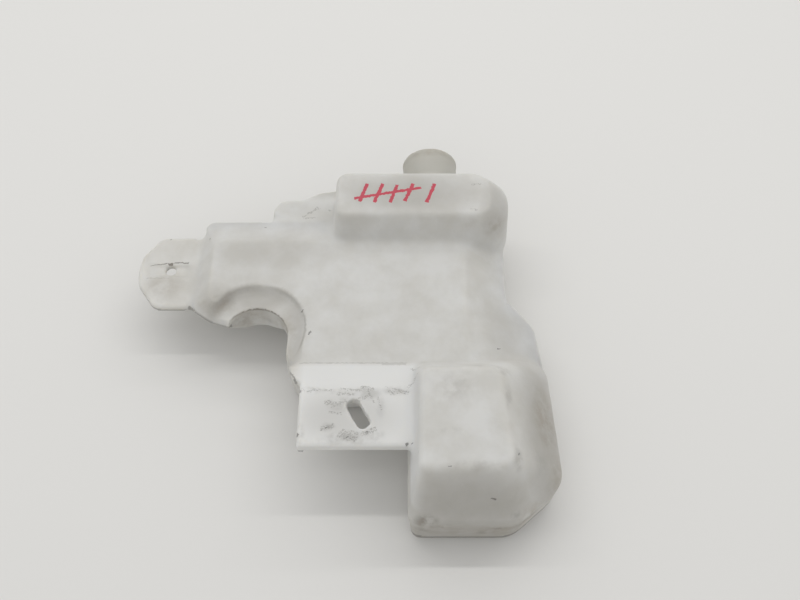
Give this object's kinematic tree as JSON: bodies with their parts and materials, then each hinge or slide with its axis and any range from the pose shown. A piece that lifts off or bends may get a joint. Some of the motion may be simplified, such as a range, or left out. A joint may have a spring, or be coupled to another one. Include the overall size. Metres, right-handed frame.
{
  "type": "washer fluid reservoir",
  "caption": "Blow-moulded windscreen washer fluid tank with a filler neck, a side arm with a bolt lug, a half-round cut-out and a slotted foot lug.",
  "frame": {"origin": "centre of the side lug's bolt hole, on the lug's back face", "axes": "+X from the side lug along the body, +Y towards the filler neck, which is up when installed, +Z from the back face to the front, and the back face lies 44 mm below the origin"},
  "size_m": [0.3368, 0.3293, 0.09],
  "materials": {
    "milky_polythene": "milky translucent, semi-matt, used"
  },
  "bodies": {
    "root": {"tank": "milky_polythene"}
  },
  "joints": []
}
